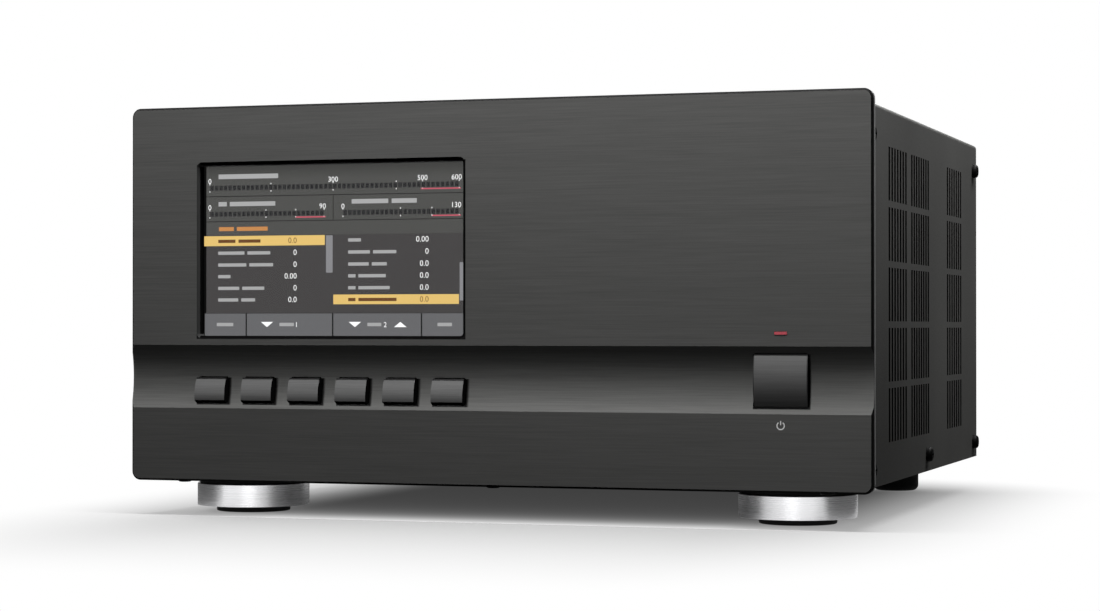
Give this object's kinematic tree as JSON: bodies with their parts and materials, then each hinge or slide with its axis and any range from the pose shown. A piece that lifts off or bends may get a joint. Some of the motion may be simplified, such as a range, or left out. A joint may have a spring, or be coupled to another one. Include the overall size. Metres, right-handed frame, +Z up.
{
  "type": "hf linear amplifier",
  "caption": "Desk-top shortwave power amplifier with a colour display, a row of arched keys, a power button, side air slots and turned aluminium front feet.",
  "frame": {"origin": "on the floor, in the middle of the footprint", "axes": "+X to the right seen from the front, +Y to the rear (the front panel faces -Y), +Z up"},
  "size_m": [0.293, 0.2814, 0.1584],
  "materials": {
    "anodised_black": "brushed, anodised black",
    "black_plastic": "moulded",
    "black_rubber": "matt",
    "black_screw": "black oxide",
    "board_green": "solder mask",
    "bright_aluminium": "turned",
    "coil": "enamelled wire",
    "copper": "copper plate",
    "cover_paint": "fine matt powder coat",
    "display_body": "display face",
    "display_glass": "clear",
    "ferrite": "sintered",
    "key_grey": "brushed, anodised grey",
    "lead_sheath": "smooth",
    "nickel": "nickel plated",
    "plain_aluminium": "extruded",
    "red_plastic": "translucent red",
    "relay_blue": "moulded",
    "ribbon_grey": "ribbed",
    "steel_screw": "plated",
    "zinc_sheet": "zinc plated"
  },
  "bodies": {
    "case": {"front_panel": "anodised_black", "display_window": "display_glass", "display_module": "display_body", "display_frame": "zinc_sheet", "control_board": "board_green", "front_board": "board_green", "board_standoffs": "nickel", "board_screws": "steel_screw", "key_switches": "black_plastic", "power_switch": "black_plastic", "power_light": "red_plastic", "chassis_base": "zinc_sheet", "chassis_front": "zinc_sheet", "rear_panel": "cover_paint", "top_cover": "cover_paint", "cover_screws": "black_screw", "base_screws": "black_screw", "panel_screws": "steel_screw", "front_foot_left": "bright_aluminium", "front_pad_left": "black_rubber", "front_foot_right": "bright_aluminium", "front_pad_right": "black_rubber", "rear_foot_left": "black_rubber", "rear_foot_right": "black_rubber", "foot_screws": "steel_screw", "heat_sink": "plain_aluminium", "heat_spreader": "copper", "pa_board": "board_green", "rf_transistors": "nickel", "rf_transformers": "ferrite", "fan_bracket": "zinc_sheet", "fan_screws": "steel_screw", "fan_frame_front": "black_plastic", "fan_frame_rear": "black_plastic", "psu_case": "zinc_sheet", "psu_board": "board_green", "filter_board": "board_green", "filter_coils": "coil", "filter_relays": "relay_blue", "mains_inlet": "black_plastic", "mains_switch": "black_plastic", "fuse_holders": "black_plastic", "rf_sockets": "nickel", "ground_post": "nickel", "data_sockets": "nickel", "phono_sockets": "nickel", "socket_screws": "steel_screw", "inner_leads": "lead_sheath", "ribbon_cable": "ribbon_grey"},
    "key_1": {"key_cap_1": "key_grey"},
    "key_2": {"key_cap_2": "key_grey"},
    "key_3": {"key_cap_3": "key_grey"},
    "key_4": {"key_cap_4": "key_grey"},
    "key_5": {"key_cap_5": "key_grey"},
    "key_6": {"key_cap_6": "key_grey"},
    "power_key": {"power_button": "key_grey", "power_plunger": "black_plastic"},
    "rocker": {"mains_rocker": "black_plastic"},
    "fan_front": {"fan_rotor_front": "black_plastic"},
    "fan_rear": {"fan_rotor_rear": "black_plastic"}
  },
  "joints": [
    {"name": "key_1_press", "type": "slide", "parent": "case", "child": "key_1", "axis": [0, 1, 0], "range_m": [0, 0.0006], "stiffness_N_per_m": 600},
    {"name": "key_2_press", "type": "slide", "parent": "case", "child": "key_2", "axis": [0, 1, 0], "range_m": [0, 0.0006], "stiffness_N_per_m": 600},
    {"name": "key_3_press", "type": "slide", "parent": "case", "child": "key_3", "axis": [0, 1, 0], "range_m": [0, 0.0006], "stiffness_N_per_m": 600},
    {"name": "key_4_press", "type": "slide", "parent": "case", "child": "key_4", "axis": [0, 1, 0], "range_m": [0, 0.0006], "stiffness_N_per_m": 600},
    {"name": "key_5_press", "type": "slide", "parent": "case", "child": "key_5", "axis": [0, 1, 0], "range_m": [0, 0.0006], "stiffness_N_per_m": 600},
    {"name": "key_6_press", "type": "slide", "parent": "case", "child": "key_6", "axis": [0, 1, 0], "range_m": [0, 0.0006], "stiffness_N_per_m": 600},
    {"name": "power_press", "type": "slide", "parent": "case", "child": "power_key", "axis": [0, 1, 0], "range_m": [0, 0.0015], "stiffness_N_per_m": 500},
    {"name": "mains_rocker_tilt", "type": "hinge", "parent": "case", "child": "rocker", "pos_m": [-0.055, 0.11867, 0.0394], "axis": [1, 0, 0], "range_deg": [-10, 0]},
    {"name": "fan_front_spin", "type": "hinge", "parent": "case", "child": "fan_front", "pos_m": [0.092, -0.03633, 0.0594], "axis": [1, 0, 0], "continuous": true},
    {"name": "fan_rear_spin", "type": "hinge", "parent": "case", "child": "fan_rear", "pos_m": [0.092, 0.04767, 0.0594], "axis": [1, 0, 0], "continuous": true}
  ]
}
